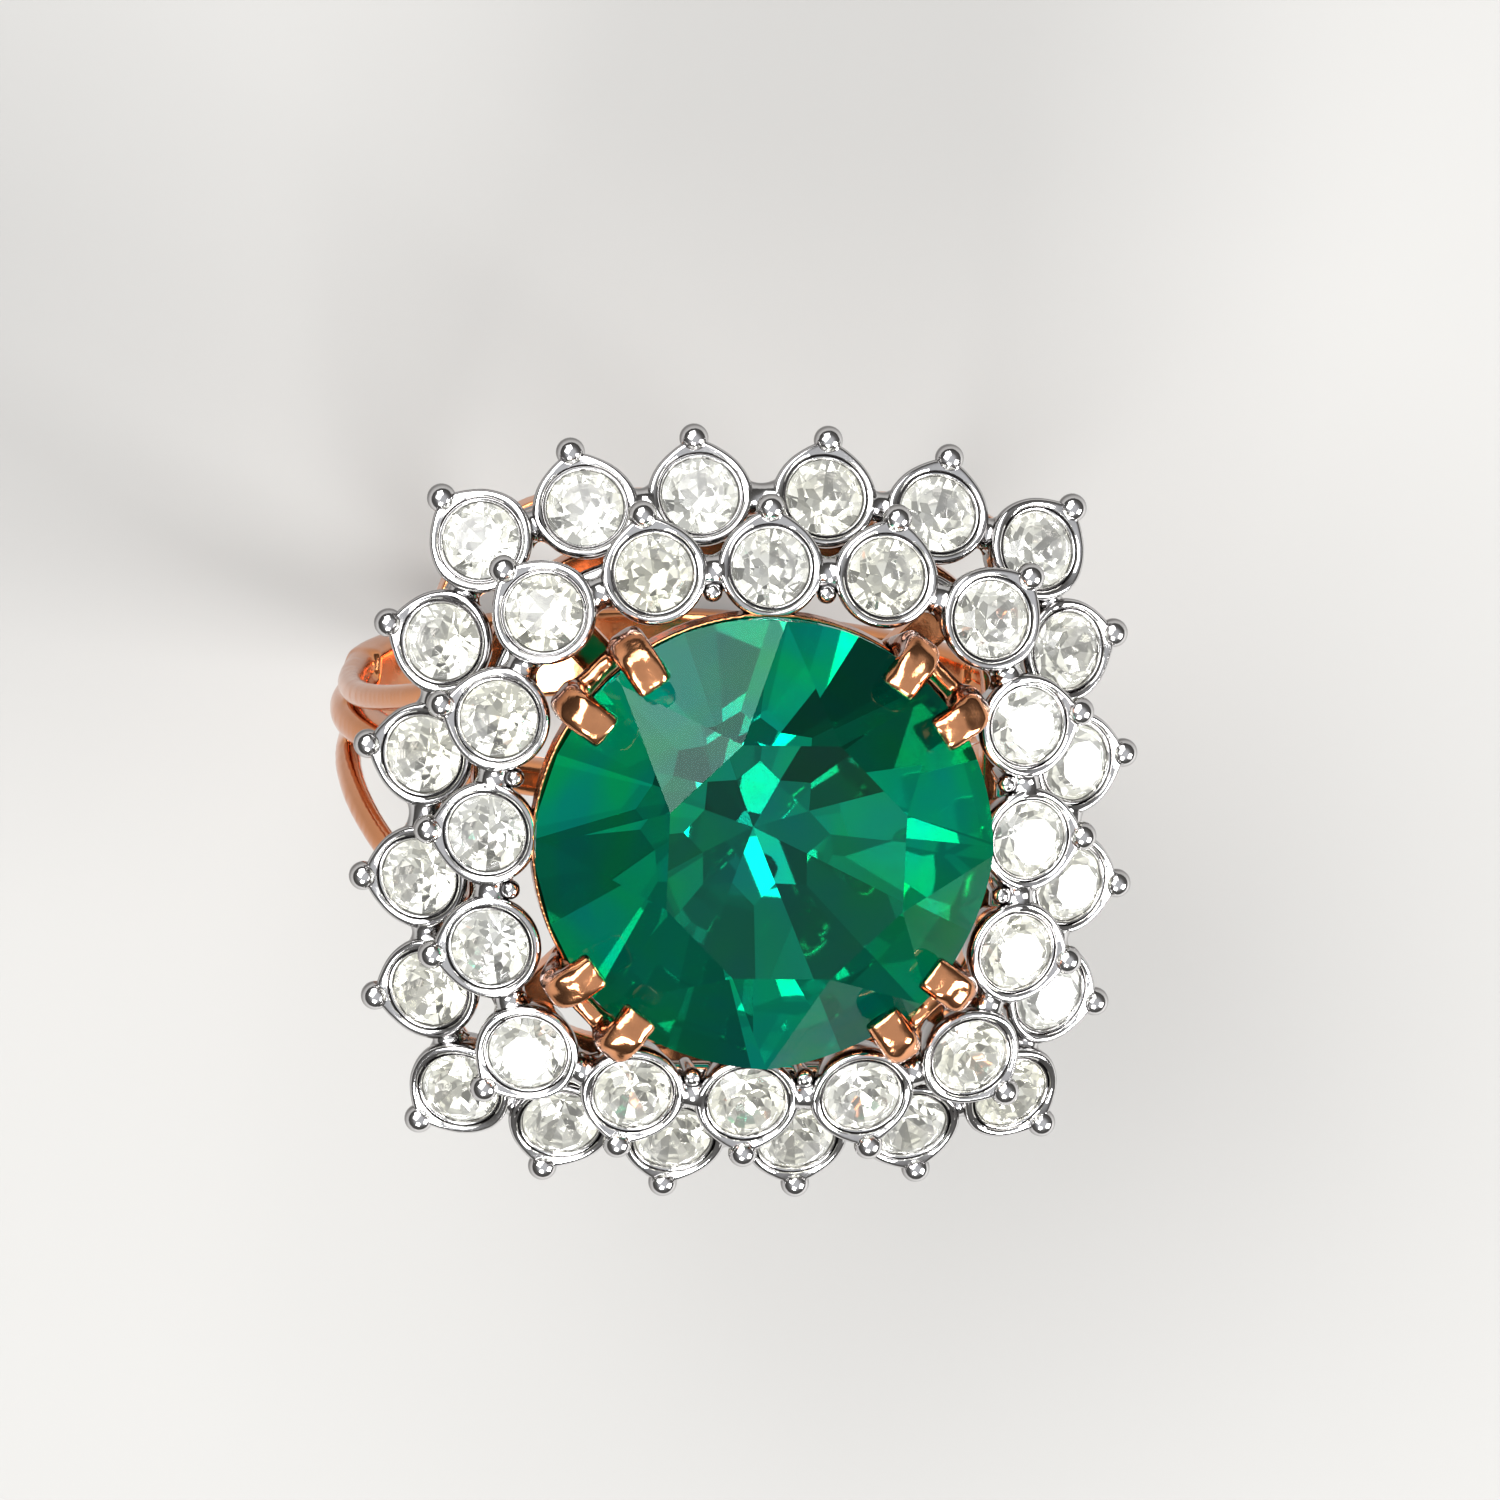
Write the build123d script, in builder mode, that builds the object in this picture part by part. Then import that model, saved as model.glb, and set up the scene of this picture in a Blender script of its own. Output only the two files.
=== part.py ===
"""Cocktail ring: a round centre stone in double claws, a two-tier halo and a split-shoulder shank.

The finger hole runs along Y, the head is up +Z and the shank goes round in the XZ plane.
The origin is the centre of the finger hole. All sizes are in millimetres and degrees.
"""

from build123d import *
import os
from math import atan, cos, degrees, radians, sin, tan

# Finger hole, band and shoulders
FINGER_RADIUS = 8.65
BAND_THICKNESS = 1.2
BAND_WIDTH = 2.5
CENTRE_STRAND_WIDTH = 1.0
BAND_EDGE = 0.3
RAIL_RADIUS = 0.38
SPLIT_ANGLE = 108.0
RAIL_LAP_ANGLE = 4.0
SHOULDER_REACH = 9.45
SHOULDER_SPREAD = 1.45
SHOULDER_HEIGHT = 4.2
SHOULDER_END_REACH = 7.95
SHOULDER_END_SPREAD = 2.9
SHOULDER_OVERRUN = 0.3

# Heights of the head above the finger axis
GALLERY_BOTTOM = 10.2
GALLERY_TOP = 11.0
OUTER_TIER_HEIGHT = 12.5
INNER_TIER_HEIGHT = 14.5
GIRDLE_HEIGHT = 15.7

# Centre stone
CENTRE_RADIUS = 6.0
TABLE_APOTHEM = 3.1
TABLE_OFFSET = 0.3
CROWN_HEIGHT = 1.85
GIRDLE_THICKNESS = 0.55
CULET_DEPTH = 5.35
MAIN_PAVILION_SLOPE = 37.0
LOWER_PAVILION_SLOPE = 42.5

# Small stones
SMALL_RADIUS = 1.0
SMALL_CROWN_HEIGHT = 0.34
SMALL_CROWN_SLOPE = 36.0
SMALL_GIRDLE = 0.1
SMALL_PAVILION_SLOPE = 41.0

# Halo tiers: half-width at the middle of a side, place of the corner stones, and splay of the cups
INNER_HALF = 7.18
INNER_CORNER = 5.89
INNER_SPLAY = 16.0
INNER_SIDE_PLACES = [(-3.05, 6.98), (0.0, INNER_HALF), (3.05, 6.98)]
OUTER_HALF = 8.68
OUTER_CORNER = 7.38
OUTER_SPLAY = 25.0
OUTER_SIDE_PLACES = [(-4.67, 8.29), (-1.65, OUTER_HALF), (1.65, OUTER_HALF), (4.67, 8.29)]

# Cast cups
CUP_RADIUS = 1.36
CUP_BASE_RADIUS = 1.0
CUP_DEPTH = 1.3
RIM_STEP = 0.04
LIP_RADIUS = 1.15
LIP_HEIGHT = 0.16
SETTING_GAP = 0.012
SEAT_HOLE_RADIUS = 0.45
BEAD_RADIUS = 0.38
BEAD_REACH = 1.54
STALK_RADIUS = 0.22
STALK_REACH = 1.4
OUTER_STALK_DEPTH = 1.1
INNER_STALK_DEPTH = 0.7
INNER_BEAD_RADIUS = 0.26
INNER_BEAD_PLACE = (1.5, 6.5)
BRIDGE_RADIUS = 0.32
BRIDGE_DEPTH = 0.45
BRIDGE_BITE = 0.15

# Rails of the halo frames and of the gallery under them
OUTER_RAIL_HALF = 8.05
OUTER_RAIL_CORNER = 3.7
OUTER_RAIL_WIDTH = 0.8
INNER_RAIL_HALF = 6.8
INNER_RAIL_CORNER = 3.96
INNER_RAIL_WIDTH = 0.7
RAIL_HEIGHT = 0.6
INNER_RAIL_BOTTOM = 12.9
LEG_RADIUS = 0.33
LEG_PLACE = 2.9
STRUT_WIDTH = 0.7
STRUT_PLACES = (-3.0, 0.0, 3.0)
ARM_WIDTH = 1.0

# Basket and claws
BASKET_RING_INNER = 4.25
BASKET_RING_OUTER = 5.1
BASKET_RING_HEIGHT = 0.6
FOOT_RADIUS = 0.45
FOOT_PLACE = 4.55
COLLAR_TOP = 15.0
COLLAR_HEIGHT = 0.75
COLLAR_OUTER = 6.05
CLAW_WIDTH = 1.02
CLAW_THICKNESS = 0.78
CLAW_EDGE = 0.3
CLAW_HALF_ANGLE = 9.2
CLAW_FOOT_REACH = 4.75
CLAW_KNEE_REACH = 6.5
CLAW_KNEE_HEIGHT = 15.35
CLAW_SHOULDER_HEIGHT = 16.4
CLAW_TIP_REACH = 5.38
CLAW_TIP_HEIGHT = 16.34
CLAW_BEND = 0.5
CROSS_BAR_HEIGHT = 15.0
CROSS_BAR_RADIUS = 0.3
CROSS_BAR_INSET = 0.1


def polar(reach, azimuth, height=0.0):
    """Point at a distance from the Z axis, an azimuth and a height."""
    return (reach * cos(radians(azimuth)), reach * sin(radians(azimuth)), height)


def quarter_turns(places):
    """The places on one side, repeated on all four sides, anticlockwise."""
    turned = []
    for turn in range(4):
        angle = radians(-90 * turn)
        for x, y in places:
            turned.append((x * cos(angle) - y * sin(angle), x * sin(angle) + y * cos(angle)))
    return turned


def seat_planes(side_places, corner, height, splay):
    """A plane for each stone of a tier: origin at its girdle, local x outward, leaning out by splay."""
    planes = []
    for x, y in quarter_turns(side_places + [(corner, corner)]):
        if abs(y) > abs(x):
            side_normal = Vector(0, 1 if y > 0 else -1, 0)
        else:
            side_normal = Vector(1 if x > 0 else -1, 0, 0)
        radial = Vector(x, y, 0).normalized()
        outward = radial if abs(abs(x) - abs(y)) < 0.01 else (radial + side_normal).normalized()
        axis = outward * sin(radians(splay)) + Vector(0, 0, cos(radians(splay)))
        across = Vector(0, 0, 1).cross(outward)
        planes.append(Plane(origin=(x, y, height), x_dir=across.cross(axis), z_dir=axis))
    return planes


def bridge_planes(seats):
    """A plane halfway between each two neighbouring seats, its z along the line between them."""
    planes = []
    for here, there in zip(seats, seats[1:] + seats[:1]):
        along = there.origin - here.origin
        middle = (there.origin + here.origin) / 2 - (here.z_dir + there.z_dir) / 2 * BRIDGE_DEPTH
        planes.append((Plane(origin=middle, z_dir=along), along.length - 2 * (CUP_RADIUS - BRIDGE_BITE)))
    return planes


def cut_facets(count, first_azimuth, reach, height, slope, up=1, shift=0.0):
    """Cut a ring of flat facets, each through the point at reach and height on its own azimuth."""
    for number in range(count):
        azimuth = first_azimuth + number * 360 / count
        normal = Vector(*polar(sin(radians(slope)), azimuth, up * cos(radians(slope))))
        through = Vector(*polar(reach, azimuth, height)) + Vector(shift, 0, 0)
        split(bisect_by=Plane(origin=through, z_dir=normal), keep=Keep.BOTTOM)


# ---------------------------------------------------------------- stones

crown_main_slope = degrees(atan(CROWN_HEIGHT / (CENTRE_RADIUS - TABLE_APOTHEM)))
chord_reach = CENTRE_RADIUS * cos(radians(22.5))
table_corner_reach = TABLE_APOTHEM / cos(radians(22.5))
crown_girdle_slope = degrees(atan(CROWN_HEIGHT / (chord_reach - table_corner_reach)))

with BuildPart() as loose_centre_stone:
    Cylinder(CENTRE_RADIUS, 2 * CULET_DEPTH, align=(Align.CENTER, Align.CENTER, Align.MAX))
    Cylinder(CENTRE_RADIUS, CROWN_HEIGHT, align=(Align.CENTER, Align.CENTER, Align.MIN))
    cut_facets(8, 0, TABLE_APOTHEM, CROWN_HEIGHT, crown_main_slope, shift=TABLE_OFFSET)
    cut_facets(8, 22.5, table_corner_reach, CROWN_HEIGHT, crown_girdle_slope, shift=TABLE_OFFSET)
    cut_facets(16, 11.25, CENTRE_RADIUS, -GIRDLE_THICKNESS, LOWER_PAVILION_SLOPE, up=-1)
    cut_facets(8, 22.5, 0, -CULET_DEPTH, MAIN_PAVILION_SLOPE, up=-1)

with BuildPart() as small_stone:
    Cylinder(SMALL_RADIUS, 2 * SMALL_RADIUS, align=(Align.CENTER, Align.CENTER, Align.MAX))
    Cylinder(SMALL_RADIUS, SMALL_CROWN_HEIGHT, align=(Align.CENTER, Align.CENTER, Align.MIN))
    cut_facets(8, 22.5, SMALL_RADIUS, 0, SMALL_CROWN_SLOPE)
    cut_facets(8, 0, SMALL_RADIUS, -SMALL_GIRDLE, SMALL_PAVILION_SLOPE, up=-1)

inner_seats = seat_planes(INNER_SIDE_PLACES, INNER_CORNER, INNER_TIER_HEIGHT, INNER_SPLAY)
outer_seats = seat_planes(OUTER_SIDE_PLACES, OUTER_CORNER, OUTER_TIER_HEIGHT, OUTER_SPLAY)

# The seat cone clears the corners between the facets of a stone's pavilion.
seat_edge_depth = SMALL_GIRDLE + SMALL_RADIUS * (1 - cos(radians(22.5))) * tan(radians(SMALL_PAVILION_SLOPE))
seat_slope = tan(radians(SMALL_PAVILION_SLOPE)) * cos(radians(22.5))
seat_radius = SMALL_RADIUS + SETTING_GAP
seat_depth = (seat_radius - SEAT_HOLE_RADIUS) * seat_slope


def add_cups(seats, stalk_depth):
    """Fuse the outsides of a tier's cups, their lips, stalks and outward beads."""
    with Locations(*[seat.offset(-CUP_DEPTH) for seat in seats]):
        Cone(
            CUP_BASE_RADIUS,
            CUP_RADIUS,
            CUP_DEPTH + RIM_STEP,
            align=(Align.CENTER, Align.CENTER, Align.MIN),
        )
    with Locations(*[seat.offset(LIP_HEIGHT) for seat in seats]):
        Cylinder(LIP_RADIUS, LIP_HEIGHT * 2, align=(Align.CENTER, Align.CENTER, Align.MAX))
    with Locations(*[Plane(seat.location * Location((STALK_REACH, 0, 0))) for seat in seats]):
        Cylinder(STALK_RADIUS, stalk_depth, align=(Align.CENTER, Align.CENTER, Align.MAX))
    with Locations(*[Plane(seat.location * Location((BEAD_REACH, 0, 0))) for seat in seats]):
        Sphere(BEAD_RADIUS)


def add_bridges(seats):
    """Fuse the short round bars between neighbouring cups."""
    for plane, length in bridge_planes(seats):
        with Locations(plane):
            Cylinder(BRIDGE_RADIUS, length)


def cut_seats(seats):
    """Open every cup: straight wall round the girdle, cone below it and a hole through the base."""
    with Locations(*[seat.offset(-seat_edge_depth) for seat in seats]):
        Cylinder(
            seat_radius,
            seat_edge_depth + 2 * LIP_HEIGHT,
            align=(Align.CENTER, Align.CENTER, Align.MIN),
            mode=Mode.SUBTRACT,
        )
        Cone(
            SEAT_HOLE_RADIUS,
            seat_radius,
            seat_depth,
            align=(Align.CENTER, Align.CENTER, Align.MAX),
            mode=Mode.SUBTRACT,
        )
        Cylinder(
            SEAT_HOLE_RADIUS,
            2 * CUP_DEPTH,
            align=(Align.CENTER, Align.CENTER, Align.MAX),
            mode=Mode.SUBTRACT,
        )


def rail_sketch(half, corner, width):
    """A rounded-square ring of the given middle line and width, on the current workplane."""
    RectangleRounded(2 * half + width, 2 * half + width, corner + width / 2)
    RectangleRounded(2 * half - width, 2 * half - width, corner - width / 2, mode=Mode.SUBTRACT)


# ---------------------------------------------------------------- halo frames

with BuildPart() as outer_halo_frame:
    with BuildSketch(Plane.XY.offset(GALLERY_TOP)):
        rail_sketch(OUTER_RAIL_HALF, OUTER_RAIL_CORNER, OUTER_RAIL_WIDTH)
    extrude(amount=RAIL_HEIGHT)
    add_cups(outer_seats, OUTER_STALK_DEPTH)
    add_bridges(outer_seats)
    cut_seats(outer_seats)
    split(bisect_by=Plane.XY.offset(GALLERY_TOP), keep=Keep.TOP)

leg_places = quarter_turns([(-LEG_PLACE, INNER_RAIL_HALF), (LEG_PLACE, INNER_RAIL_HALF)])

with BuildPart() as inner_halo_frame:
    with BuildSketch(Plane.XY.offset(INNER_RAIL_BOTTOM)):
        rail_sketch(INNER_RAIL_HALF, INNER_RAIL_CORNER, INNER_RAIL_WIDTH)
    extrude(amount=RAIL_HEIGHT)
    with Locations(*[(x, y, GALLERY_TOP) for x, y in leg_places]):
        Cylinder(
            LEG_RADIUS,
            INNER_RAIL_BOTTOM + RAIL_HEIGHT / 2 - GALLERY_TOP,
            align=(Align.CENTER, Align.CENTER, Align.MIN),
        )
    add_cups(inner_seats, INNER_STALK_DEPTH)
    add_bridges(inner_seats)
    inner_beads = quarter_turns([(-INNER_BEAD_PLACE[0], INNER_BEAD_PLACE[1]), INNER_BEAD_PLACE])
    with Locations(*[(x, y, INNER_TIER_HEIGHT) for x, y in inner_beads]):
        Sphere(INNER_BEAD_RADIUS)
    with Locations(*[(x, y, INNER_TIER_HEIGHT) for x, y in inner_beads]):
        Cylinder(
            STALK_RADIUS,
            INNER_TIER_HEIGHT - INNER_RAIL_BOTTOM - RAIL_HEIGHT / 2,
            align=(Align.CENTER, Align.CENTER, Align.MAX),
        )
    cut_seats(inner_seats)

# ---------------------------------------------------------------- gallery and basket

strut_length = OUTER_RAIL_HALF - INNER_RAIL_HALF
strut_reach = (OUTER_RAIL_HALF + INNER_RAIL_HALF) / 2
arm_start = (BASKET_RING_INNER + BASKET_RING_OUTER) / 2
arm_end = (INNER_RAIL_HALF - (1 - cos(radians(45))) * INNER_RAIL_CORNER) / cos(radians(45))

with BuildPart() as gallery_frame:
    with BuildSketch(Plane.XY.offset(GALLERY_BOTTOM)):
        rail_sketch(OUTER_RAIL_HALF, OUTER_RAIL_CORNER, OUTER_RAIL_WIDTH)
    extrude(amount=GALLERY_TOP - GALLERY_BOTTOM)
    with BuildSketch(Plane.XY.offset(GALLERY_BOTTOM)):
        rail_sketch(INNER_RAIL_HALF, INNER_RAIL_CORNER, INNER_RAIL_WIDTH)
    extrude(amount=GALLERY_TOP - GALLERY_BOTTOM)
    with BuildSketch(Plane.XY.offset(GALLERY_BOTTOM)):
        for x, y in quarter_turns([(place, strut_reach) for place in STRUT_PLACES]):
            with Locations((x, y)):
                Rectangle(
                    strut_length if abs(x) > abs(y) else STRUT_WIDTH,
                    STRUT_WIDTH if abs(x) > abs(y) else strut_length,
                )
    extrude(amount=GALLERY_TOP - GALLERY_BOTTOM)
    with BuildSketch(Plane.XY.offset(GALLERY_BOTTOM)):
        with PolarLocations((arm_start + arm_end) / 2, 4, 45):
            Rectangle(arm_end - arm_start, ARM_WIDTH)
    extrude(amount=GALLERY_TOP - GALLERY_BOTTOM)

with BuildPart() as basket_lower_ring:
    with BuildSketch(Plane.XY.offset(GALLERY_TOP)):
        Circle(BASKET_RING_OUTER)
        Circle(BASKET_RING_INNER, mode=Mode.SUBTRACT)
    extrude(amount=BASKET_RING_HEIGHT)
    with Locations((FOOT_PLACE, 0, GALLERY_TOP), (-FOOT_PLACE, 0, GALLERY_TOP)):
        Cylinder(FOOT_RADIUS, GALLERY_TOP, align=(Align.CENTER, Align.CENTER, Align.MAX))
    with BuildSketch(Plane.XZ):
        Circle(FINGER_RADIUS + BAND_THICKNESS)
    extrude(amount=2 * FOOT_RADIUS, both=True, mode=Mode.SUBTRACT)

pavilion_slope = tan(radians(LOWER_PAVILION_SLOPE)) * cos(radians(11.25))
facet_sag = CENTRE_RADIUS * (1 - cos(radians(11.25)))
pavilion_edge = GIRDLE_HEIGHT - GIRDLE_THICKNESS - facet_sag * pavilion_slope
collar_top_inner = CENTRE_RADIUS - (pavilion_edge - COLLAR_TOP) / pavilion_slope + SETTING_GAP
collar_foot_inner = collar_top_inner - COLLAR_HEIGHT / 2 / pavilion_slope


def collar_profile(gap=0.0):
    """Half section of the collar in the XZ plane: a conical seat above a straight band."""
    with BuildLine() as outline:
        Polyline(
            (collar_top_inner, COLLAR_TOP + gap),
            (COLLAR_OUTER + gap, COLLAR_TOP + gap),
            (COLLAR_OUTER + gap, COLLAR_TOP - COLLAR_HEIGHT - gap),
            (collar_foot_inner - gap, COLLAR_TOP - COLLAR_HEIGHT - gap),
            (collar_foot_inner - gap, COLLAR_TOP - COLLAR_HEIGHT / 2),
            close=True,
        )
    make_face(outline.edges())


with BuildPart() as basket_collar:
    with BuildSketch(Plane.XZ):
        collar_profile()
    revolve(axis=Axis.Z)
    with Locations(*[seat.offset(-CUP_DEPTH) for seat in inner_seats]):
        Cone(
            CUP_BASE_RADIUS + SETTING_GAP,
            CUP_RADIUS + SETTING_GAP,
            CUP_DEPTH + RIM_STEP,
            align=(Align.CENTER, Align.CENTER, Align.MIN),
            mode=Mode.SUBTRACT,
        )

# ---------------------------------------------------------------- claws

with BuildPart() as stone_clearance:
    with Locations((0, 0, GIRDLE_HEIGHT)):
        add(scale(loose_centre_stone.part, by=1 + SETTING_GAP / CENTRE_RADIUS, mode=Mode.PRIVATE))

with BuildPart() as collar_clearance:
    with BuildSketch(Plane.XZ):
        collar_profile(SETTING_GAP)
    revolve(axis=Axis.Z)


def add_claw(azimuth):
    """One claw: a flat-sided stem leaning outward, bent over the crown to a blunt tip."""
    outward = Plane(origin=(0, 0, 0), x_dir=polar(1, azimuth), z_dir=polar(1, azimuth - 90))
    foot_height = GALLERY_TOP + BASKET_RING_HEIGHT
    with BuildLine(outward) as path:
        FilletPolyline(
            (CLAW_FOOT_REACH, foot_height),
            (CLAW_KNEE_REACH, CLAW_KNEE_HEIGHT),
            (CLAW_KNEE_REACH, CLAW_SHOULDER_HEIGHT),
            (CLAW_TIP_REACH, CLAW_TIP_HEIGHT),
            radius=CLAW_BEND,
        )
    across = polar(1, azimuth + 90)
    with BuildSketch(Plane(origin=path.line @ 0, x_dir=across, z_dir=path.line % 0)) as section:
        RectangleRounded(CLAW_WIDTH, CLAW_THICKNESS, CLAW_EDGE)
    sweep(section.sketch, path=path.line)


claw_pairs = {}
for name, middle_azimuth in (("ne", 45), ("nw", 135), ("sw", 225), ("se", 315)):
    bar_half = CLAW_KNEE_REACH * sin(radians(CLAW_HALF_ANGLE))
    bar_reach = CLAW_KNEE_REACH * cos(radians(CLAW_HALF_ANGLE)) - CROSS_BAR_INSET
    bar_middle = polar(bar_reach, middle_azimuth, CROSS_BAR_HEIGHT)
    with BuildPart() as claw_pair:
        add_claw(middle_azimuth - CLAW_HALF_ANGLE)
        add_claw(middle_azimuth + CLAW_HALF_ANGLE)
        with Locations(Plane(origin=bar_middle, z_dir=polar(1, middle_azimuth + 90))):
            Cylinder(CROSS_BAR_RADIUS, 2 * bar_half)
        add(stone_clearance.part, mode=Mode.SUBTRACT)
        add(collar_clearance.part, mode=Mode.SUBTRACT)
        split(bisect_by=Plane.XY.offset(GALLERY_TOP + BASKET_RING_HEIGHT), keep=Keep.TOP)
    claw_pairs["claw_pair_" + name] = claw_pair.part

# ---------------------------------------------------------------- shank


def band_profile(width):
    """Section of the band in the XY plane: flat inside, rounded outer edges."""
    inside = FINGER_RADIUS
    outside = FINGER_RADIUS + BAND_THICKNESS
    with BuildLine() as outline:
        Polyline((outside - BAND_EDGE, width / 2), (inside, width / 2), (inside, -width / 2),
                 (outside - BAND_EDGE, -width / 2))
        ThreePointArc((outside - BAND_EDGE, -width / 2), (outside, 0), (outside - BAND_EDGE, width / 2))
    make_face(outline.edges())


with BuildPart() as shank:
    with BuildSketch(Plane.XY):
        band_profile(CENTRE_STRAND_WIDTH)
    revolve(axis=Axis.Y)
    with BuildSketch(Plane.XY.rotated((0, SPLIT_ANGLE - 90, 0))):
        band_profile(BAND_WIDTH)
    revolve(axis=Axis.Y, revolution_arc=360 - 2 * SPLIT_ANGLE)
    middle_radius = FINGER_RADIUS + BAND_THICKNESS / 2
    rail_angle = radians(SPLIT_ANGLE + RAIL_LAP_ANGLE)
    for side in (-1, 1):
        for edge in (-1, 1):
            start = (
                side * middle_radius * sin(rail_angle),
                edge * (BAND_WIDTH / 2 - RAIL_RADIUS),
                middle_radius * cos(rail_angle),
            )
            shoulder = (side * SHOULDER_REACH, edge * SHOULDER_SPREAD, SHOULDER_HEIGHT)
            end = (side * SHOULDER_END_REACH, edge * SHOULDER_END_SPREAD, GALLERY_BOTTOM + SHOULDER_OVERRUN)
            with BuildLine() as rail_path:
                ThreePointArc(start, shoulder, end)
            with BuildSketch(Plane(origin=rail_path.line @ 0, z_dir=rail_path.line % 0)):
                Circle(RAIL_RADIUS)
            sweep(path=rail_path.line)
    split(bisect_by=Plane.XY.offset(GALLERY_BOTTOM), keep=Keep.BOTTOM)
    with BuildSketch(Plane.XZ):
        Circle(FINGER_RADIUS)
    extrude(amount=2 * BAND_WIDTH, both=True, mode=Mode.SUBTRACT)

# ---------------------------------------------------------------- placing and writing

with BuildPart() as centre_stone:
    with Locations((0, 0, GIRDLE_HEIGHT)):
        add(loose_centre_stone.part)

pieces = {
    "shank": shank.part,
    "gallery_frame": gallery_frame.part,
    "basket_lower_ring": basket_lower_ring.part,
    "basket_collar": basket_collar.part,
    "centre_stone": centre_stone.part,
    "inner_halo_frame": inner_halo_frame.part,
    "outer_halo_frame": outer_halo_frame.part,
}
pieces.update(claw_pairs)

for tier, seats in (("inner", inner_seats), ("outer", outer_seats)):
    for number, seat in enumerate(seats, start=1):
        with BuildPart() as set_stone:
            with Locations(seat):
                add(small_stone.part)
        pieces[f"{tier}_stone_{number:02d}"] = set_stone.part

os.makedirs("parts", exist_ok=True)
for name, piece in pieces.items():
    piece.label = name
    export_step(piece, f"parts/{name}.step")
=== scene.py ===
"""Cocktail ring: cast two-tier halo, double claws, faceted stones, gallery and split shank.

Laid out as an add-on whose operators each make one piece, or one group of like pieces, round the
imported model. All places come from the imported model's own boxes and meshes.
"""

from math import atan, cos, exp, pi, radians, sin, tan, tau

import bmesh
import bpy
from mathutils import Matrix, Vector


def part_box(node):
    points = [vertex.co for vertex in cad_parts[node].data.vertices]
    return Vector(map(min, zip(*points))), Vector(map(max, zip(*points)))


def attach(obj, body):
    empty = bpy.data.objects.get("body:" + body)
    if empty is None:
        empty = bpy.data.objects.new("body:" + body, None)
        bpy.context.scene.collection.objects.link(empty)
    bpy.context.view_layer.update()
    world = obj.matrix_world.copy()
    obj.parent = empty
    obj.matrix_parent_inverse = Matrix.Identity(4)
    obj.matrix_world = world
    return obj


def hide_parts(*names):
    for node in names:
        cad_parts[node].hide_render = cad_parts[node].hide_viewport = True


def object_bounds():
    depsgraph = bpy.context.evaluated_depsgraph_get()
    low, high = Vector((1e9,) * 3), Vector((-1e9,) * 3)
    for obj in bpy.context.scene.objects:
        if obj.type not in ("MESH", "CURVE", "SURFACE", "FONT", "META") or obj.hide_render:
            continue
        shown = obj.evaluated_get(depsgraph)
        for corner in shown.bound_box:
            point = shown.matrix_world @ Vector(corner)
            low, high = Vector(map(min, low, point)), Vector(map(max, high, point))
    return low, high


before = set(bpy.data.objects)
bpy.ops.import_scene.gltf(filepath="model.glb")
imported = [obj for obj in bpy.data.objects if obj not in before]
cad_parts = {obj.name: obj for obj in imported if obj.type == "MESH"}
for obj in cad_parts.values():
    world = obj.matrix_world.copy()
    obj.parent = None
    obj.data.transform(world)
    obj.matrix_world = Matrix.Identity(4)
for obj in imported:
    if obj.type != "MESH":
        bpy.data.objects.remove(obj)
cad_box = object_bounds()

bl_info = {
    "name": "Cocktail Ring",
    "version": (1, 0, 0),
    "blender": (4, 5, 0),
    "location": "3D View > Sidebar > Ring",
    "description": "Makes the castings, claws, stones and shank of a two-tone cocktail ring",
    "category": "Object",
}

MM = 0.001
BODY = "root"
CLAW_NODES = ("claw_pair_ne", "claw_pair_nw", "claw_pair_sw", "claw_pair_se")


def tier_nodes(tier):
    """The CAD nodes of one tier's small stones, in their order round the halo."""
    return sorted(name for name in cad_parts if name.startswith(tier + "_stone_"))


def length(name, description, millimetres):
    """A length property with a default in millimetres."""
    return bpy.props.FloatProperty(
        name=name, description=description, default=millimetres * MM, precision=6,
        subtype="DISTANCE", unit="LENGTH"
    )


def colour(name, description, value):
    """A colour property."""
    return bpy.props.FloatVectorProperty(
        name=name, description=description, default=value, size=3, min=0.0, max=1.0, subtype="COLOR"
    )


class RingCastingSizes(bpy.types.PropertyGroup):
    """Sizes of the cast cups, beads and bridges of the halo."""

    cup_radius: length("Cup radius", "Outside radius of a cup at its rim", 1.36)
    cup_base_radius: length("Cup base radius", "Outside radius of a cup at its foot", 1.0)
    cup_depth: length("Cup depth", "Depth of a cup below the girdle of its stone", 1.3)
    stone_radius: length("Seat radius", "Inside radius of a cup round the girdle", 1.012)
    stone_depth: length("Stone depth", "Depth of a small stone from girdle to culet", 0.97)
    hole_radius: length("Hole radius", "Radius of the open back of a cup", 0.45)
    bead_radius: length("Bead radius", "Radius of the bead outside each cup", 0.385)
    bead_reach: length("Bead reach", "Distance of the bead from the middle of its cup", 1.55)
    inner_bead_radius: length("Inner bead radius", "Radius of the beads beside the centre stone", 0.26)
    bridge_radius: length("Bridge radius", "Radius of the bridges between cups at their middle", 0.43)
    rail_width: length("Rail width", "Width of the rails under the cups", 0.75)
    rail_height: length("Rail height", "Height of the rails under the cups", 0.6)
    leg_radius: length("Leg radius", "Radius of the legs of the upper tier", 0.33)


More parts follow.
